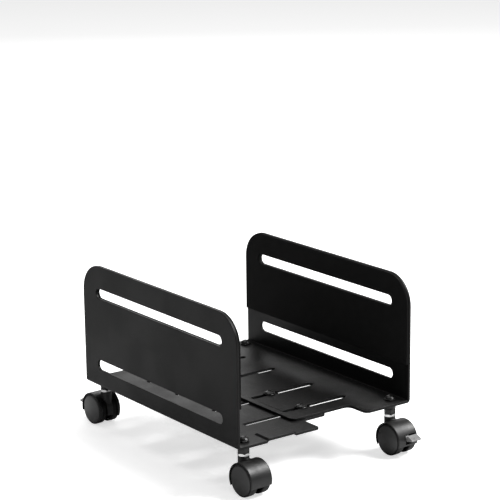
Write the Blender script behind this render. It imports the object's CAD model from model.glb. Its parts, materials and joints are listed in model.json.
"""Looks of the rolling computer stand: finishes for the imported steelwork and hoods, and worked
pieces in the places of the plain foam, fasteners, wheels, wheel caps and brake pedals."""

import json
import math

import bmesh
import bpy
from mathutils import Matrix, Vector, noise


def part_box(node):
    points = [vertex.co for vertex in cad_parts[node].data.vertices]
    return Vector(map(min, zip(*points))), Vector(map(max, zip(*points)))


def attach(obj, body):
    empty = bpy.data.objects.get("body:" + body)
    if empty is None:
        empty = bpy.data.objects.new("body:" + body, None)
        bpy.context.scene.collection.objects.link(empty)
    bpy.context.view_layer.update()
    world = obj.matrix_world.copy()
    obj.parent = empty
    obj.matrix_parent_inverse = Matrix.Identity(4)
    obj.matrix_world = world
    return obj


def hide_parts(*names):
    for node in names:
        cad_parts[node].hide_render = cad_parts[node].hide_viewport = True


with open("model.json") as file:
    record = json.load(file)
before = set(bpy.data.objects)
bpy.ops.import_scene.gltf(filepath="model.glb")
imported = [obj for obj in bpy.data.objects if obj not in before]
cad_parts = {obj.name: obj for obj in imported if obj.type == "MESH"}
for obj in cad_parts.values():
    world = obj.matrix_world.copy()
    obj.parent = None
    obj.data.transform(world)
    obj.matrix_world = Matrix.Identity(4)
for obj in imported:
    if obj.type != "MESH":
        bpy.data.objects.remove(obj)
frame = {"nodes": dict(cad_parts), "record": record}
bpy.context.view_layer.update()

NODES = frame["nodes"]
MM = 0.001
CORNERS = ("front_left", "front_right", "rear_left", "rear_right")
BRAKED = ("front_right", "rear_left")

# fasteners, in millimetres, as the frame's own drawing has them
COLLAR_Z, COLLAR_H = 33.7, 2.4
RING_Z, RING_H = 21.2, 1.2
LOCK_NUT_H = 5.2
STEM_R, STEM_PITCH = 3.0, 1.0
JOURNAL_R = 2.2
SCREW_R, SCREW_PITCH = 2.5, 0.8
THREAD_DEPTH = 0.42
WASHER_R, WASHER_T = 5.5, 1.0

# wheels and caps
AXLE_Z = 15.0
WHEEL_R, WHEEL_IN, WHEEL_W = 15.0, 3.6, 7.4
BORE_R, HUB_R, RIM_R = 1.55, 3.6, 13.0
CAP_R, CAP_H, CAP_SEAT = 13.2, 2.4, 10.1
RIBS = 8

# hood and brake
TRAIL, HOOD_R, HOOD_T, NECK_R = 9.5, 16.2, 0.9, 5.2
LIP_OUT, LIP_IN = 10.7, 8.8
PEDAL_PIN, PEDAL_BORE_R, TAB_X = (-18.1, 23.2), 1.05, (-2.5, 9.0)

# foam pads
FOAM_T = 2.2
PAD_CORNER_R = 27.6
SLOT_L, SLOT_H = 204.0, 10.0
PAD_INSET, PANEL_H, UPPER_SLOT_Z = 0.4, 120, 93.2

# camera: where it stands in metres, its angles in degrees, its lens in millimetres
CAMERA_PLACE = (-0.978367, -1.341241, 0.599489)
CAMERA_AZIMUTH, CAMERA_ELEVATION, CAMERA_ROLL = -36.3403, 14.0823, -0.65592
CAMERA_LENS, CAMERA_SENSOR = 132.76, 36
FLOOR_REACH = 9.0


# ---------------------------------------------------------------- shader boards

class Board:
    """Places nodes on one node tree and wires them up."""

    def __init__(self, tree):
        self.tree = tree
        self.column = 0

    def put(self, kind, settings=None, **sockets):
        made = self.tree.nodes.new(kind)
        made.location = (self.column, 0)
        self.column += 190
        for key, value in (settings or {}).items():
            setattr(made, key, value)
        for key, value in sockets.items():
            self.feed(made.inputs[key.replace("_", " ")], value)
        return made

    def feed(self, socket, value):
        if isinstance(value, bpy.types.NodeSocket):
            self.tree.links.new(value, socket)
        else:
            socket.default_value = value

    def maths(self, operation, first, second=0.0, clamp=False):
        made = self.put("ShaderNodeMath", {"operation": operation, "use_clamp": clamp})
        self.feed(made.inputs[0], first)
        self.feed(made.inputs[1], second)
        return made.outputs[0]

    def ramp(self, value, low, high, to_low=0.0, to_high=1.0):
        made = self.put("ShaderNodeMapRange", {"interpolation_type": "SMOOTHSTEP"},
                        Value=value, From_Min=low, From_Max=high, To_Min=to_low, To_Max=to_high)
        return made.outputs["Result"]

    def blend(self, share, first, second):
        made = self.put("ShaderNodeMix", {"data_type": "RGBA"})
        self.feed(made.inputs["Factor"], share)
        for socket, value in ((made.inputs[6], first), (made.inputs[7], second)):
            self.feed(socket, value)
        return made.outputs[2]

    def noise(self, where, scale, detail=2.0, rough=0.5):
        return self.put("ShaderNodeTexNoise", None, Vector=where, Scale=scale,
                        Detail=detail, Roughness=rough).outputs["Fac"]

    def where(self, stretch=(1.0, 1.0, 1.0)):
        place = self.put("ShaderNodeTexCoord").outputs["Object"]
        made = self.put("ShaderNodeVectorMath", {"operation": "MULTIPLY"})
        self.feed(made.inputs[0], place)
        self.feed(made.inputs[1], stretch)
        return made.outputs[0]


def effect(name, inputs, outputs, draw):
    """A node group with the float inputs and the outputs named, drawn once and shared."""
    tree = bpy.data.node_groups.new(name, "ShaderNodeTree")
    for label, value in inputs.items():
        tree.interface.new_socket(label, in_out="INPUT",
                                  socket_type="NodeSocketFloat").default_value = value
    for label in outputs:
        tree.interface.new_socket(label, in_out="OUTPUT", socket_type="NodeSocketFloat")
    board = Board(tree)
    source = board.put("NodeGroupInput")
    results = draw(board, source.outputs)
    sink = board.put("NodeGroupOutput")
    for label, result in zip(outputs, results):
        board.feed(sink.inputs[label], result)
    return tree


def draw_edge_wear(board, given):
    """Bright where the coat has rubbed thin on an edge, broken up so that no edge is even."""
    rounded = board.put("ShaderNodeBevel", {"samples": 6})
    board.feed(rounded.inputs["Radius"], given["Width"])
    flat = board.put("ShaderNodeNewGeometry").outputs["Normal"]
    turn = board.put("ShaderNodeVectorMath", {"operation": "DOT_PRODUCT"})
    board.feed(turn.inputs[0], rounded.outputs[0])
    board.feed(turn.inputs[1], flat)
    edge = board.ramp(board.maths("SUBTRACT", 1.0, turn.outputs["Value"]), 0.01, 0.16)
    chips = board.ramp(board.noise(board.where(), given["Breakup"], 4.0, 0.6), 0.38, 0.66)
    return [board.maths("MULTIPLY", board.maths("MULTIPLY", edge, chips), given["Amount"])]


def draw_mottle(board, given):
    """Slow cloudy change of shade over a surface."""
    broad = board.noise(board.where(), given["Scale"], 3.0, 0.55)
    return [board.ramp(broad, 0.32, 0.68)]


def draw_settled_dust(board, given):
    """Fine dust lying on what faces up."""
    facing = board.put("ShaderNodeSeparateXYZ", None,
                       Vector=board.put("ShaderNodeNewGeometry").outputs["Normal"])
    up = board.ramp(facing.outputs["Z"], 0.45, 0.95)
    specks = board.ramp(board.noise(board.where(), given["Scale"], 5.0, 0.7), 0.40, 0.72)
    return [board.maths("MULTIPLY", board.maths("MULTIPLY", up, specks), given["Amount"])]


def draw_powder_skin(board, given):
    """Orange peel of a baked powder coat, with the odd pit."""
    place = board.where()
    peel = board.noise(place, given["Scale"], 2.0, 0.45)
    fine = board.noise(place, board.maths("MULTIPLY", given["Scale"], 3.7), 2.0, 0.5)
    height = board.maths("ADD", peel, board.maths("MULTIPLY", fine, 0.35))
    return [height, board.ramp(peel, 0.35, 0.65)]


def draw_moulded_grain(board, given):
    """Spark-eroded tool grain left on a moulding."""
    place = board.where()
    cells = board.put("ShaderNodeTexVoronoi", {"feature": "SMOOTH_F1"}, Vector=place,
                      Scale=given["Scale"], Smoothness=0.6).outputs["Distance"]
    fine = board.noise(place, board.maths("MULTIPLY", given["Scale"], 2.1), 3.0, 0.6)
    height = board.maths("ADD", cells, board.maths("MULTIPLY", fine, 0.6))
    return [height, board.ramp(fine, 0.35, 0.65)]


def draw_foam_cells(board, given):
    """Cut open cells of a closed-cell foam sheet."""
    place = board.where()
    walls = board.put("ShaderNodeTexVoronoi", {"feature": "DISTANCE_TO_EDGE"}, Vector=place,
                      Scale=given["Scale"]).outputs["Distance"]
    small = board.put("ShaderNodeTexVoronoi", {"feature": "SMOOTH_F1"}, Vector=place,
                      Scale=board.maths("MULTIPLY", given["Scale"], 2.3),
                      Smoothness=0.4).outputs["Distance"]
    open_cells = board.ramp(walls, 0.0, 0.28)
    height = board.maths("SUBTRACT", small, open_cells)
    return [height, open_cells]


def draw_zinc_plating(board, given):
    """Rolling marks along the stock under the plate, and its cloudy bloom."""
    drawn = board.noise(board.where((1.0, 1.0, 0.08)), given["Scale"], 3.0, 0.6)
    bloom = board.noise(board.where(), board.maths("MULTIPLY", given["Scale"], 0.12), 3.0, 0.6)
    return [drawn, board.ramp(bloom, 0.35, 0.65)]


EFFECTS = {
    "edge_wear": effect("edge_wear", {"Width": 0.0006, "Breakup": 900.0, "Amount": 0.5},
                        ["Mask"], draw_edge_wear),
    "mottle": effect("mottle", {"Scale": 30.0}, ["Mask"], draw_mottle),
    "settled_dust": effect("settled_dust", {"Scale": 700.0, "Amount": 0.1}, ["Mask"],
                           draw_settled_dust),
    "powder_skin": effect("powder_skin", {"Scale": 1400.0}, ["Height", "Mask"],
                          draw_powder_skin),
    "moulded_grain": effect("moulded_grain", {"Scale": 3500.0}, ["Height", "Mask"],
                            draw_moulded_grain),
    "foam_cells": effect("foam_cells", {"Scale": 1300.0}, ["Height", "Mask"], draw_foam_cells),
    "zinc_plating": effect("zinc_plating", {"Scale": 2600.0}, ["Height", "Mask"],
                           draw_zinc_plating),
}


# ---------------------------------------------------------------- finishes

def grey(level, warmth=0.0):
    return (level * (1 + warmth), level, level * (1 - warmth), 1.0)


def make_finish(name, skin, scale, relief, shades, gloss, worn, metallic=0.0, coat=0.0,
                wear=(0.0006, 900.0, 0.5), dust=0.08, mottle=30.0, shade_by_skin=0.25,
                specular=0.5):
    """A finish: shades and gloss are (one end, other end) of the mottle, worn the colour that
    shows on rubbed edges, relief the height in metres of the skin's bumps."""
    material = bpy.data.materials.new(name)
    material.use_nodes = True
    material.node_tree.nodes.clear()
    board = Board(material.node_tree)

    def use(group, **values):
        return board.put("ShaderNodeGroup", {"node_tree": EFFECTS[group]}, **values).outputs

    surface = use(skin, Scale=scale)
    cloud = use("mottle", Scale=mottle)["Mask"]
    rubbed = use("edge_wear", Width=wear[0], Breakup=wear[1], Amount=wear[2])["Mask"]
    dusty = use("settled_dust", Amount=dust)["Mask"]
    shade = board.maths("ADD", board.maths("MULTIPLY", cloud, 1 - shade_by_skin),
                        board.maths("MULTIPLY", surface["Mask"], shade_by_skin))
    colour = board.blend(shade, grey(shades[0]), grey(shades[1]))
    colour = board.blend(rubbed, colour, grey(worn))
    colour = board.blend(dusty, colour, grey(0.42, 0.04))
    roughness = board.ramp(shade, 0.0, 1.0, gloss[0], gloss[1])
    roughness = board.maths("ADD", roughness, board.maths("MULTIPLY", dusty, 0.5), clamp=True)
    bump = board.put("ShaderNodeBump", None, Strength=1.0, Distance=relief,
                     Height=surface["Height"])
    shader = board.put("ShaderNodeBsdfPrincipled", None, Base_Color=colour,
                       Roughness=roughness, Normal=bump.outputs[0])
    shader.inputs["Metallic"].default_value = metallic
    shader.inputs["Specular IOR Level"].default_value = specular
    shader.inputs["Coat Weight"].default_value = coat
    shader.inputs["Coat Roughness"].default_value = 0.3
    board.put("ShaderNodeOutputMaterial", None, Surface=shader.outputs[0])
    return material


FINISHES = {
    "black_steel": make_finish(
        "satin_black_powder_coat", "powder_skin", 1500.0, 0.000022, (0.0042, 0.0066),
        (0.42, 0.52), 0.035, wear=(0.0007, 700.0, 0.45), dust=0.04, mottle=22.0,
        specular=0.15),
    "black_foam": make_finish(
        "black_closed_cell_foam", "foam_cells", 1250.0, 0.00016, (0.0045, 0.009), (0.82, 0.95),
        0.016, wear=(0.0008, 500.0, 0.4), dust=0.06, mottle=45.0, shade_by_skin=0.5,
        specular=0.12),
    "black_fastener": make_finish(
        "black_oxide_steel", "zinc_plating", 3000.0, 0.000012, (0.004, 0.009), (0.26, 0.38),
        0.10, wear=(0.0004, 1500.0, 0.5), dust=0.03, mottle=160.0, specular=0.35),
    "zinc_steel": make_finish(
        "bright_zinc_plate", "zinc_plating", 2600.0, 0.00001, (0.58, 0.76), (0.20, 0.34),
        0.85, metallic=1.0, wear=(0.0004, 1200.0, 0.5), dust=0.03, mottle=240.0),
    "hood_plastic": make_finish(
        "black_moulded_nylon", "moulded_grain", 3800.0, 0.000018, (0.0045, 0.0070),
        (0.40, 0.50), 0.025, wear=(0.0005, 1100.0, 0.25), dust=0.04, mottle=90.0,
        specular=0.42),
    "wheel_nylon": make_finish(
        "black_wheel_nylon", "moulded_grain", 2600.0, 0.00003, (0.004, 0.009), (0.48, 0.62),
        0.04, wear=(0.0008, 800.0, 0.5), dust=0.08, mottle=150.0, specular=0.2),
    "cap_plastic": make_finish(
        "black_cap_moulding", "moulded_grain", 4600.0, 0.000012, (0.017, 0.024),
        (0.38, 0.46), 0.03, wear=(0.0004, 1200.0, 0.25), dust=0.03, mottle=70.0,
        specular=0.55),
    "lever_plastic": make_finish(
        "grey_pedal_moulding", "moulded_grain", 3600.0, 0.00002, (0.18, 0.23), (0.40, 0.52),
        0.34, wear=(0.0005, 900.0, 0.4), dust=0.05, mottle=120.0),
}


# ---------------------------------------------------------------- shapes

def turned(rings, sides, hollow=False):
    """Points and faces of a solid turned about Z. A ring is (radius, height), or a function
    of the turn angle that returns them. A hollow one closes its last ring onto its first."""
    points, faces = [], []
    for ring in rings:
        for k in range(sides):
            turn = math.tau * k / sides
            radius, height = ring(turn) if callable(ring) else ring
            points.append(Vector((radius * math.cos(turn), radius * math.sin(turn), height)))
    count = len(rings)
    for i in range(count if hollow else count - 1):
        j = (i + 1) % count
        for k in range(sides):
            n = (k + 1) % sides
            faces.append((i * sides + k, i * sides + n, j * sides + n, j * sides + k))
    if not hollow:
        faces.append(tuple(reversed(range(sides))))
        faces.append(tuple(range((count - 1) * sides, count * sides)))
    return points, faces


def slab(outline, low, high):
    """Points and faces of an outline in Y and Z, pushed along X from low to high."""
    count = len(outline)
    points = [Vector((x, y, z)) for x in (low, high) for y, z in outline]
    faces = [(i, (i + 1) % count, count + (i + 1) % count, count + i) for i in range(count)]
    faces += [tuple(reversed(range(count))), tuple(range(count, 2 * count))]
    return points, faces


def hexagon(turn, across):
    """Distance from the axis to a hexagon's side, with the corners slightly rolled."""
    swing = turn % (math.pi / 3) - math.pi / 6
    return min(across / 2 / math.cos(swing), 0.985 * across / math.sqrt(3))


def hexagon_rings(across, low, high, face=0.475):
    """Rings of a hexagon between two levels, its ends turned down to round faces."""
    face_r = face * across
    slope = math.tan(math.radians(30))

    def chamfered(level, up):
        def ring(turn):
            radius = hexagon(turn, across)
            return radius, level + up * (radius - face_r) * slope
        return ring

    return [(face_r, low), chamfered(low, 1), chamfered(high, -1), (face_r, high)]


def thread_rings(radius, low, high, pitch):
    """Rings of a screw thread, run out over its first and last turn."""
    rows = max(2, round((high - low) / pitch * 8))

    def ring_at(level):
        def ring(turn):
            phase = (level / pitch - turn / math.tau) % 1
            run_out = min(1.0, (level - low) / pitch, (high - level) / pitch)
            groove = THREAD_DEPTH * max(0.0, 1.15 * abs(2 * phase - 1) - 0.15)
            return radius - groove * max(0.0, run_out), level
        return ring

    return [ring_at(low + (high - low) * k / rows) for k in range(rows + 1)]


def placed(shape, matrix):
    """A shape's points moved by a matrix in millimetres, and its faces."""
    points, faces = shape
    return [matrix @ p for p in points], faces


def joined(shapes):
    points, faces = [], []
    for some_points, some_faces in shapes:
        start = len(points)
        points += some_points
        faces += [tuple(start + i for i in face) for face in some_faces]
    return points, faces


def mesh_of(name, shape):
    """A mesh in metres from a shape in millimetres, its faces turned outward."""
    points, faces = shape
    mesh = bpy.data.meshes.new(name)
    mesh.from_pydata([p * MM for p in points], [], faces)
    work = bmesh.new()
    work.from_mesh(mesh)
    bmesh.ops.recalc_face_normals(work, faces=work.faces)
    work.to_mesh(mesh)
    work.free()
    return mesh


def shape_of(mesh):
    """A shape in millimetres from a mesh in metres."""
    return [v.co / MM for v in mesh.vertices], [tuple(p.vertices) for p in mesh.polygons]


def object_of(name, mesh):
    made = bpy.data.objects.new(name, mesh)
    bpy.context.scene.collection.objects.link(made)
    return made


def carved(name, body, others, operation):
    """One mesh from a shape joined with, or cut by, the other shapes."""
    base = object_of(name, mesh_of(name, body))
    tools = []
    for i, shape in enumerate(others):
        tool = object_of(f"{name}_tool_{i}", mesh_of(f"{name}_tool_{i}", shape))
        change = base.modifiers.new(f"tool_{i}", "BOOLEAN")
        change.operation, change.object, change.solver = operation, tool, "EXACT"
        tools.append(tool)
    bpy.context.view_layer.update()
    seen = base.evaluated_get(bpy.context.evaluated_depsgraph_get())
    mesh = bpy.data.meshes.new_from_object(seen)
    for gone in [base, *tools]:
        bpy.data.objects.remove(gone)
    return mesh


def round_edges(obj, width, segments=2, angle=32):
    bevel = obj.modifiers.new("rounded_edges", "BEVEL")
    bevel.width, bevel.segments = width * MM, segments
    bevel.limit_method, bevel.angle_limit = "ANGLE", math.radians(angle)
    bevel.use_clamp_overlap = False
    bevel.miter_outer = "MITER_ARC"
    even = obj.modifiers.new("even_shading", "WEIGHTED_NORMAL")
    even.weight, even.keep_sharp = 80, False


def fit_out(name, mesh, body, slot, node, smooth=38):
    """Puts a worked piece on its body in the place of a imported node, with its finish."""
    mesh.materials.clear()
    mesh.materials.append(FINISHES[slot])
    mesh.shade_smooth()
    mesh.set_sharp_from_angle(angle=math.radians(smooth))
    made = object_of(name, mesh)
    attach(made, body)
    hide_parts(node)
    return made


# ---------------------------------------------------------------- where things are

def middle(node):
    low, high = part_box(node)
    return (low + high) / 2 / MM


def span(node):
    low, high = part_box(node)
    return low / MM, high / MM


def side_of(corner):
    return corner.split("_")[1]


def caster_frame(corner):
    """Stem on Z with the floor at 0, axle behind it at -TRAIL on Y and running along X."""
    stem, axle = middle(f"{corner}_stem"), middle(f"{corner}_axle")
    forward = Vector((stem.x - axle.x, stem.y - axle.y, 0)).normalized()
    across = forward.cross(Vector((0, 0, 1)))
    turn = Matrix((across, forward, (0, 0, 1))).transposed().to_4x4()
    return Matrix.Translation((stem.x, stem.y, 0)) @ turn


def axle_frame(corner, wheel_side):
    """Z along the axle towards one wheel, starting from the middle of the caster."""
    turn = Matrix.Rotation(wheel_side * math.pi / 2, 4, "Y")
    return caster_frame(corner) @ Matrix.Translation((0, -TRAIL, AXLE_Z)) @ turn


def wheel_side(corner, which):
    """+1 or -1: the end of the caster's X axis on which the outer or inner wheel runs."""
    place = caster_frame(corner).inverted() @ middle(f"{corner}_{which}_wheel")
    return 1 if place.x > 0 else -1


# ---------------------------------------------------------------- steelwork and hoods

def finish_packed(node, slot, edge, angle=32):
    """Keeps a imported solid, joins its split corners, rounds its edges and gives its finish."""
    obj = NODES[node]
    obj.data.materials.clear()
    obj.data.materials.append(FINISHES[slot])
    weld = obj.modifiers.new("joined_corners", "WELD")
    weld.merge_threshold = 0.002 * MM
    whole = obj.modifiers.new("whole_faces", "DECIMATE")
    whole.decimate_type, whole.angle_limit = "DISSOLVE", math.radians(0.4)
    round_edges(obj, edge, 3, angle)


def finish_frame():
    for side in ("left", "right"):
        finish_packed(f"{side}_bracket", "black_steel", 0.45)
    for corner in CORNERS:
        finish_packed(f"{corner}_hood", "hood_plastic", 0.3)
        finish_packed(f"{corner}_axle", "zinc_steel", 0.2)
        finish_packed(f"{corner}_grip_ring", "zinc_steel", 0.12)
    for corner in BRAKED:
        finish_packed(f"{corner}_brake_pin", "zinc_steel", 0.12)


def add_to_hood(corner, what, shape):
    """A moulded detail of a hood, drawn in its caster's own frame, with the hood's finish."""
    name = f"{corner}_{what}"
    mesh = mesh_of(name, placed(shape, caster_frame(corner)))
    mesh.materials.append(FINISHES["hood_plastic"])
    mesh.shade_smooth()
    mesh.set_sharp_from_angle(angle=math.radians(38))
    made = object_of(name, mesh)
    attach(made, f"{corner}_caster")


def neck_fillet(corner):
    """The moulded sweep from a hood's drum up into its neck."""
    def drum(y):
        return AXLE_Z + math.sqrt(max(4.0, HOOD_R ** 2 - (y + TRAIL) ** 2))

    def ring(step):
        def at(turn):
            y_share = math.sin(turn)
            size = 0.05 + 1.75 * max(0.0, min(1.0, (0.25 - y_share) / 0.6))
            if step == "root":
                return NECK_R - 0.7, drum((NECK_R - 0.7) * y_share) - 0.4
            if step == "toe":
                radius = NECK_R + size
                return radius, drum(radius * y_share) - 0.4
            if step == "inside":
                return NECK_R - 0.7, drum(NECK_R * y_share) + size
            bend = math.radians(270 - 90 * step)
            radius = NECK_R + size + size * math.cos(bend)
            return radius, drum(radius * y_share) + size + size * math.sin(bend)
        return at

    steps = [0, 0.17, 0.34, 0.5, 0.66, 0.83, 1]
    rings = [ring("root"), ring("toe"), *[ring(s) for s in steps], ring("inside")]
    add_to_hood(corner, "neck_fillet", turned(rings, 96, hollow=True))


def rim_lips(corner):
    """The inward return of a hood's two rims, along its open side towards the stem."""
    inside, outside = HOOD_R - HOOD_T, HOOD_R - 0.1
    shapes = []
    for side in (-1, 1):
        points, steps = [], 28
        for k in range(steps + 1):
            bend = math.radians(-27 + 69 * k / steps)
            for radius, out in ((inside, LIP_OUT), (outside, LIP_OUT), (outside, LIP_IN + 0.25),
                                (outside - 0.25, LIP_IN), (inside + 0.2, LIP_IN),
                                (inside, LIP_IN + 0.2)):
                points.append(Vector((side * out, radius * math.cos(bend) - TRAIL,
                                      radius * math.sin(bend) + AXLE_Z)))
        faces = [(6 * k + i, 6 * k + (i + 1) % 6, 6 * k + 6 + (i + 1) % 6, 6 * k + 6 + i)
                 for k in range(steps) for i in range(6)]
        faces += [tuple(reversed(range(6))), tuple(range(6 * steps, 6 * steps + 6))]
        shapes.append((points, faces))
    add_to_hood(corner, "hood_rim_lips", joined(shapes))


# ---------------------------------------------------------------- foam pads

def pad_outline(low, high):
    """Outer loop and slot loop of a pad, as (y, z) about its box."""
    corner, steps = PAD_CORNER_R, 20
    outer = [(low.y, low.z), (high.y, low.z)]
    for centre_y, start in ((high.y - corner, 0), (low.y + corner, 90)):
        for k in range(steps + 1):
            bend = math.radians(start + 90 * k / steps)
            outer.append((centre_y + corner * math.cos(bend),
                          high.z - corner + corner * math.sin(bend)))
    return outer


def slot_loop(level):
    half, r, loop = (SLOT_L - SLOT_H) / 2, SLOT_H / 2, []
    for centre_y, start in ((half, -90), (-half, 90)):
        for k in range(17):
            bend = math.radians(start + 180 * k / 16)
            loop.append((centre_y + r * math.cos(bend), level + r * math.sin(bend)))
    return loop


def foam_pad(side):
    """A die-cut pad with softly crushed edges and the slight swell of sheet foam."""
    node = f"{side}_foam_pad"
    low, high = span(node)
    slot_level = high.z + PAD_INSET - PANEL_H + UPPER_SLOT_Z
    edge = 0.75
    curve = bpy.data.curves.new(f"{side}_pad_outline", "CURVE")
    curve.dimensions, curve.fill_mode = "2D", "BOTH"
    curve.extrude, curve.bevel_depth = FOAM_T / 2 - edge, edge
    curve.bevel_resolution, curve.offset = 4, -edge
    for loop in (pad_outline(low, high), slot_loop(slot_level)):
        spline = curve.splines.new("POLY")
        spline.points.add(len(loop) - 1)
        for point, (y, z) in zip(spline.points, loop):
            point.co = (y, z, 0, 1)
        spline.use_cyclic_u = True
    drawing = object_of(curve.name, curve)
    bpy.context.view_layer.update()
    seen = drawing.evaluated_get(bpy.context.evaluated_depsgraph_get())
    mesh = bpy.data.meshes.new_from_object(seen)
    bpy.data.objects.remove(drawing)

    stand_up = Matrix(((0, 0, 1, (low.x + high.x) / 2), (1, 0, 0, 0), (0, 1, 0, 0),
                       (0, 0, 0, 1)))
    mesh.transform(stand_up)
    work = bmesh.new()
    work.from_mesh(mesh)
    bmesh.ops.remove_doubles(work, verts=work.verts, dist=0.002)
    for axis, first, last in ((1, low.y, high.y), (2, low.z, high.z)):
        cuts = int((last - first) / 5)
        for k in range(1, cuts):
            at, facing = Vector(), Vector()
            at[axis], facing[axis] = first + (last - first) * k / cuts, 1
            bmesh.ops.bisect_plane(work, geom=work.verts[:] + work.edges[:] + work.faces[:],
                                   plane_co=at, plane_no=facing, dist=0.001)
    inward = 1 if side == "left" else -1
    free_face = high.x if side == "left" else low.x
    for vert in work.verts:
        depth = 1 - abs(vert.co.x - free_face) / FOAM_T
        swell = 0.5 + 0.5 * noise.noise(vert.co * 0.055 + Vector((3.1 * inward, 0, 0)))
        vert.co.x -= inward * 0.16 * swell * max(0.0, depth)
    bmesh.ops.recalc_face_normals(work, faces=work.faces)
    work.to_mesh(mesh)
    work.free()
    mesh.transform(Matrix.Scale(MM, 4))
    made = fit_out(f"{side}_die_cut_pad", mesh, f"{side}_side", "black_foam", node, 50)


# ---------------------------------------------------------------- fasteners

def at_each(shape, spots):
    return joined([placed(shape, Matrix.Translation(spot)) for spot in spots])


def stem_spots(side, level):
    spots = []
    for corner in CORNERS:
        if side_of(corner) == side:
            place = middle(f"{corner}_stem")
            spots.append((place.x, place.y, level))
    return spots


def lock_nuts(side):
    node = f"{side}_lock_nuts"
    low, _ = span(node)
    faces = hexagon_rings(10, 0, LOCK_NUT_H)
    bore = [(STEM_R, LOCK_NUT_H - 0.5), (STEM_R, 0.5), (STEM_R + 0.45, 0)]
    shape = turned([*bore, *faces, (STEM_R + 0.45, LOCK_NUT_H)], 96, hollow=True)
    mesh = mesh_of(node, at_each(shape, stem_spots(side, low.z)))
    fit_out(f"{side}_chamfered_lock_nuts", mesh, f"{side}_side", "black_fastener", node, 22)


def cap_nuts(side):
    """Domed nuts: a hexagon foot, a waist and a round head over the end of the stem."""
    node = f"{side}_cap_nuts"
    low, _ = span(node)
    foot, waist_r, top, ball = 1.6, 4.6, 4.8, 5.6
    rings = [(0.05, 2.6), (STEM_R, 2.6), (STEM_R, 0.5), (STEM_R + 0.45, 0)]
    rings += hexagon_rings(10, 0, foot, 0.485)
    rings += [(waist_r + 0.1, foot + 0.05), (waist_r, foot + 0.15)]
    shoulder = math.degrees(math.acos(waist_r / ball))
    for k in range(15):
        rise = math.radians(shoulder + (89.4 - shoulder) * k / 14)
        rings.append((ball * math.cos(rise), top - ball + ball * math.sin(rise)))
    shape = turned(rings, 96)
    mesh = mesh_of(node, at_each(shape, stem_spots(side, low.z)))
    fit_out(f"{side}_domed_cap_nuts", mesh, f"{side}_side", "black_fastener", node, 26)


def spacers(side):
    node = f"{side}_spacers"
    low, high = span(node)
    height, outer = high.z - low.z, 5.6
    rings = [(STEM_R, height - 0.3), (STEM_R, 0.3), (STEM_R + 0.3, 0), (outer - 0.5, 0),
             (outer - 0.15, 0.12), (outer, 0.5), (outer, height - 0.5),
             (outer - 0.15, height - 0.12), (outer - 0.5, height), (STEM_R + 0.3, height)]
    mesh = mesh_of(node, at_each(turned(rings, 72, hollow=True), stem_spots(side, low.z)))
    fit_out(f"{side}_turned_spacers", mesh, f"{side}_side", "black_fastener", node, 50)


def stem(corner):
    """Plated stem: journal with its ring groove, hexagon collar and threaded end."""
    node = f"{corner}_stem"
    low, high = span(node)
    place = middle(node)
    collar_top = COLLAR_Z + COLLAR_H
    groove_low, groove_high = RING_Z - 0.1, RING_Z + RING_H + 0.1
    rings = [(JOURNAL_R - 0.6, low.z), (JOURNAL_R, low.z + 0.6), (JOURNAL_R, groove_low),
             (JOURNAL_R - 0.5, groove_low), (JOURNAL_R - 0.5, groove_high),
             (JOURNAL_R, groove_high), (JOURNAL_R, COLLAR_Z)]
    rings += hexagon_rings(10, COLLAR_Z, collar_top, 0.49)
    rings += [(STEM_R, collar_top + 0.01)]
    rings += thread_rings(STEM_R, collar_top + 0.3, high.z - 0.5, STEM_PITCH)
    rings += [(STEM_R - 0.5, high.z)]
    facing = caster_frame(corner).to_euler().z
    matrix = Matrix.Translation((place.x, place.y, 0)) @ Matrix.Rotation(facing, 4, "Z")
    mesh = mesh_of(node, placed(turned(rings, 72), matrix))
    fit_out(f"{corner}_threaded_stem", mesh, f"{side_of(corner)}_side", "zinc_steel", node, 24)


def screw_spots(level):
    """The clamp screws' places at a level: two outer ones, and two nearer the middle."""
    low, high = span("clamp_nuts")
    x = (low.x + high.x) / 2
    outer = (high.y - low.y) / 2 - 4
    return [(x, y, level) for y in (-outer, -30, 30, outer)]


def clamp_screws():
    """Pan heads with a tapered cross recess on threaded shanks."""
    node = "clamp_screws"
    low, high = span(node)
    _, washer_high = span("clamp_washers")
    seat = washer_high.z
    length = seat - low.z
    rings = [(SCREW_R - 0.5, -length)]
    rings += thread_rings(SCREW_R, -length + 0.5, -0.8, SCREW_PITCH)
    rings += [(SCREW_R, -0.3), (SCREW_R + 0.2, 0), (4.5, 0), (4.75, 0.15), (4.8, 0.5)]
    head_r, centre = 8.6, -6.4
    for k in range(12):
        radius = 4.7 * (1 - k / 11.0) + 0.05
        rings.append((radius, centre + math.sqrt(head_r ** 2 - radius ** 2)))
    body = turned(rings, 64)

    def wing(turn):
        wide, narrow, reach_top, reach_low, depth = 0.62, 0.42, 2.4, 1.0, 1.45
        top = high.z - seat + 0.6
        points = []
        for half_l, half_w, z in ((reach_low, narrow, top - 0.6 - depth),
                                  (reach_top, wide, top)):
            points += [Vector((sx * half_l, sy * half_w, z))
                       for sx, sy in ((-1, -1), (1, -1), (1, 1), (-1, 1))]
        faces = [(3, 2, 1, 0), (4, 5, 6, 7), (0, 1, 5, 4), (1, 2, 6, 5), (2, 3, 7, 6),
                 (3, 0, 4, 7)]
        return placed((points, faces), Matrix.Rotation(turn, 4, "Z"))

    one = carved("clamp_screw", body, [wing(0.3), wing(0.3 + math.pi / 2)], "DIFFERENCE")
    mesh = mesh_of(node, at_each(shape_of(one), screw_spots(seat)))
    fit_out("cross_head_clamp_screws", mesh, NODE_BODY[node], "black_fastener", node, 28)


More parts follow.
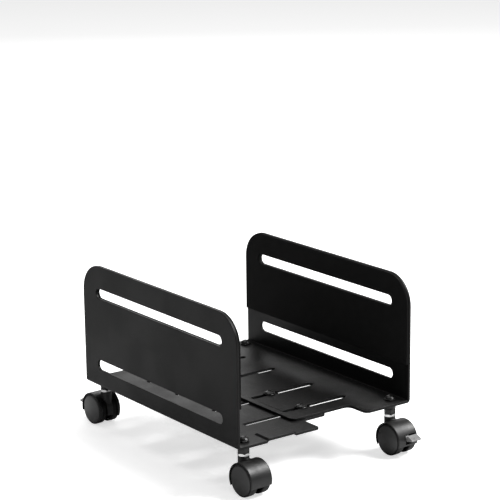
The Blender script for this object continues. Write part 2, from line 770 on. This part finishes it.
def clamp_washers():
    node = "clamp_washers"
    low, high = span(node)
    bore = SCREW_R + 0.2
    rings = [(bore, WASHER_T - 0.15), (bore, 0.15), (bore + 0.15, 0), (WASHER_R - 0.3, 0),
             (WASHER_R - 0.05, 0.15), (WASHER_R, 0.4), (WASHER_R, WASHER_T - 0.25),
             (WASHER_R - 0.25, WASHER_T), (bore + 0.15, WASHER_T)]
    shape = turned(rings, 72, hollow=True)
    spots = screw_spots(low.z) + screw_spots(high.z - WASHER_T)
    mesh = mesh_of(node, at_each(shape, spots))
    fit_out("stamped_clamp_washers", mesh, NODE_BODY[node], "black_fastener", node, 40)


def clamp_nuts():
    node = "clamp_nuts"
    low, high = span(node)
    height = high.z - low.z
    bore = [(SCREW_R, height - 0.4), (SCREW_R, 0.4), (SCREW_R + 0.4, 0)]
    rings = [*bore, *hexagon_rings(8, 0, height), (SCREW_R + 0.4, height)]
    mesh = mesh_of(node, at_each(turned(rings, 96, hollow=True), screw_spots(low.z)))
    fit_out("chamfered_clamp_nuts", mesh, NODE_BODY[node], "zinc_steel", node, 22)


# ---------------------------------------------------------------- wheels and caps

def wheel(corner, which):
    """Moulded wheel: crowned tread with its parting line, ribbed inside, recessed outside."""
    node = f"{corner}_{which}_wheel"
    floor_in, rib_top, rib_half_t = 5.4, 0.7, 0.55
    tread_r = WHEEL_R - 0.06

    def ribbed(radius):
        def ring(turn):
            pitch = math.tau / RIBS
            off = abs((turn + pitch / 2) % pitch - pitch / 2) * radius
            rise = max(0.0, min(1.0, (off - rib_half_t) / 0.45))
            return radius, rib_top + (floor_in - rib_top) * rise
        return ring

    recess = WHEEL_W - 0.9
    rings = [(BORE_R, recess - 0.3), (BORE_R, 0.3), (BORE_R + 0.25, 0), (HUB_R - 0.2, 0),
             (HUB_R, 0.2), ribbed(HUB_R + 0.02), ribbed(5.5), ribbed(8), ribbed(10.5),
             ribbed(RIM_R - 0.02), (RIM_R, 0.2), (RIM_R + 0.2, 0), (14.1, 0), (14.55, 0.12),
             (14.84, 0.4), (14.92, 0.85), (tread_r, 1.6), (tread_r, 3.4), (WHEEL_R, 3.6),
             (WHEEL_R, 3.8), (tread_r, 4.0), (tread_r, 5.8), (14.92, 6.55),
             (14.84, 7.0), (14.55, 7.28), (14.1, WHEEL_W), (CAP_R + 0.25, WHEEL_W),
             (CAP_R + 0.05, WHEEL_W - 0.2), (CAP_R + 0.05, recess), (BORE_R + 0.3, recess)]
    side = wheel_side(corner, which)
    matrix = axle_frame(corner, side) @ Matrix.Translation((0, 0, WHEEL_IN))
    mesh = mesh_of(node, placed(turned(rings, 144, hollow=True), matrix))
    fit_out(f"{corner}_{which}_ribbed_wheel", mesh, f"{corner}_{which}_wheel_set",
            "wheel_nylon", node, 30)


def wheel_cap(corner, which):
    """Domed cap with a rounded rim, standing a little proud of the wheel."""
    node = f"{corner}_{which}_cap"
    rim_h, roll = 1.3, 0.45
    rings = [(CAP_R - 0.35, 0), (CAP_R - 0.1, 0.1), (CAP_R, 0.35)]
    for k in range(8):
        bend = math.radians(10 * k)
        rings.append((CAP_R - roll + roll * math.cos(bend), rim_h - roll + roll * math.sin(bend)))
    steps, reach = 24, CAP_R - roll
    for k in range(1, steps + 1):
        radius = reach * (1 - k / steps) + 0.03
        crown = 1 - (radius / reach) ** 2
        rings.append((radius, rim_h + (CAP_H - rim_h) * crown))
    matrix = axle_frame(corner, wheel_side(corner, which))
    matrix = matrix @ Matrix.Translation((0, 0, CAP_SEAT))
    mesh = mesh_of(node, placed(turned(rings, 144), matrix))
    fit_out(f"{corner}_{which}_domed_cap", mesh, f"{corner}_{which}_wheel_set",
            "cap_plastic", node, 40)


# ---------------------------------------------------------------- brake pedals

def brake_pedal(corner):
    """Pedal with grip ridges, on an arm that ends in an eye round the pin."""
    node = f"{corner}_brake_lever"
    back = -TRAIL - HOOD_R
    pin_y, pin_z = PEDAL_PIN
    half_t = 1.9
    arm = slab([(pin_y - 1.7, pin_z + 0.8), (pin_y + 1.5, pin_z - 1.1), (back + 3.2, 16.2),
                (back - 0.4, 15.4), (back - 0.4, 18.2)], -half_t, half_t)
    tip_y, tip_z, brow_y, brow_z = back - 7.6, 18.2, back - 3, 20.7
    tab = slab([(back - 0.3, 16.2), (back - 7.3, 17.0), (tip_y, tip_z), (brow_y, brow_z),
                (back - 0.3, 21.1)], *TAB_X)
    sideways = Matrix.Translation((0, pin_y, pin_z)) @ Matrix.Rotation(math.pi / 2, 4, "Y")
    eye = placed(turned([(1.9, -half_t), (1.9, half_t)], 48), sideways)
    mesh = carved(f"{corner}_pedal", arm, [tab, eye], "UNION")
    bore = placed(turned([(PEDAL_BORE_R, -4), (PEDAL_BORE_R, 4)], 32), sideways)
    mesh = carved(f"{corner}_pedal", shape_of(mesh), [bore], "DIFFERENCE")

    # grip ridges lie across the sloping top
    slope = math.atan2(brow_z - tip_z, brow_y - tip_y)
    shapes = [shape_of(mesh)]
    first, pitch, half_l, tall, flatness = 1.1, 1.3, 4.9, 0.28, 0.075
    for k in range(3):
        along = first + pitch * k
        y = tip_y + along * math.cos(slope)
        z = tip_z + along * math.sin(slope)
        middle_x = (TAB_X[0] + TAB_X[1]) / 2
        lie = Matrix.Translation((middle_x, y, z)) @ Matrix.Rotation(slope, 4, "X")
        rings = [(half_l - 0.35, -0.3), (half_l, -0.05), (half_l - 0.1, tall * 0.6),
                 (half_l - 0.35, tall)]

        points, faces = turned(rings, 32)
        flat = [Vector((p.x, p.y * flatness, p.z)) for p in points]
        shapes.append(placed((flat, faces), lie))
    mesh = mesh_of(node, placed(joined(shapes), caster_frame(corner)))
    made = fit_out(f"{corner}_brake_pedal", mesh, f"{corner}_brake", "lever_plastic", node)
    round_edges(made, 0.22)


# ---------------------------------------------------------------- put together

NODE_BODY = {node: body for body, nodes in frame["record"]["behaviour"]["bodies"].items()
             for node in nodes}

finish_frame()
for side in ("left", "right"):
    foam_pad(side)
    spacers(side)
    lock_nuts(side)
    cap_nuts(side)
clamp_washers()
clamp_nuts()
clamp_screws()
for corner in CORNERS:
    stem(corner)
    neck_fillet(corner)
    rim_lips(corner)
    for which in ("outer", "inner"):
        wheel(corner, which)
        wheel_cap(corner, which)
for corner in BRAKED:
    brake_pedal(corner)


# ---------------------------------------------------------------- studio

def aim(obj, place, target, roll=0.0):
    """Stands an object at a place, looking down its -Z at the target."""
    away = (Vector(place) - Vector(target)).normalized()
    across = Vector((0, 0, 1)).cross(away).normalized()
    upward = away.cross(across)
    right = across * math.cos(roll) + upward * math.sin(roll)
    top = upward * math.cos(roll) - across * math.sin(roll)
    obj.matrix_world = (Matrix.Translation(place)
                        @ Matrix((right, top, away)).transposed().to_4x4())


def add_camera():
    azimuth, elevation = math.radians(CAMERA_AZIMUTH), math.radians(CAMERA_ELEVATION)
    place = Vector(CAMERA_PLACE)
    away = Vector((math.sin(azimuth) * math.cos(elevation),
                   -math.cos(azimuth) * math.cos(elevation), math.sin(elevation)))
    camera = object_of("studio_camera", bpy.data.cameras.new("studio_camera"))
    camera.data.sensor_width, camera.data.lens = CAMERA_SENSOR, CAMERA_LENS
    camera.data.clip_start, camera.data.clip_end = 0.05, 50
    aim(camera, place, place - away, math.radians(CAMERA_ROLL))
    bpy.context.scene.camera = camera


def add_softbox(name, place, target, size, power, shade=(1, 1, 1)):
    light = object_of(name, bpy.data.lights.new(name, "AREA"))
    light.data.shape = "RECTANGLE"
    light.data.size, light.data.size_y = size
    light.data.energy, light.data.color = power, shade
    aim(light, place, target)


def add_studio():
    centre = (0, 0, 0.08)
    add_softbox("key_softbox", (1.27, -0.83, 1.68), centre, (0.95, 0.95), 74)
    add_softbox("left_fill_softbox", (-1.9, 0.6, 1.2), centre, (1.2, 1.2), 3)
    add_softbox("back_fill_softbox", (1.2, 2.0, 1.3), centre, (1.2, 1.2), 12)
    add_softbox("top_softbox", (0, 0.5, 2.6), centre, (1.6, 1.6), 20)
    world = bpy.data.worlds.new("white_studio")
    world.use_nodes = True
    sky = Board(world.node_tree)
    seen = sky.put("ShaderNodeLightPath").outputs["Is Camera Ray"]
    sky.feed(world.node_tree.nodes["Background"].inputs["Color"],
             sky.blend(seen, grey(0.16), grey(0.96)))
    bpy.context.scene.world = world

    ground = bpy.data.meshes.new("studio_floor")
    reach = FLOOR_REACH
    ground.from_pydata([(-reach, -reach, 0), (reach, -reach, 0), (reach, reach, 0),
                        (-reach, reach, 0)], [], [(0, 1, 2, 3)])
    paper = bpy.data.materials.new("pale_floor_paper")
    paper.use_nodes = True
    board = Board(paper.node_tree)
    shader = paper.node_tree.nodes["Principled BSDF"]
    tone = board.noise(board.where(), 3.0, 2.0)
    board.feed(shader.inputs["Base Color"], board.blend(tone, grey(0.86), grey(0.88)))
    shader.inputs["Roughness"].default_value = 0.9
    seen = board.put("ShaderNodeLightPath").outputs["Is Camera Ray"]
    board.feed(shader.inputs["Emission Color"], board.blend(seen, grey(0.0), grey(1.0)))
    shader.inputs["Emission Strength"].default_value = 0.62
    ground.materials.append(paper)
    object_of("studio_floor", ground)
    bpy.context.scene.view_settings.view_transform = "Standard"


add_camera()
add_studio()

bpy.context.view_layer.update()
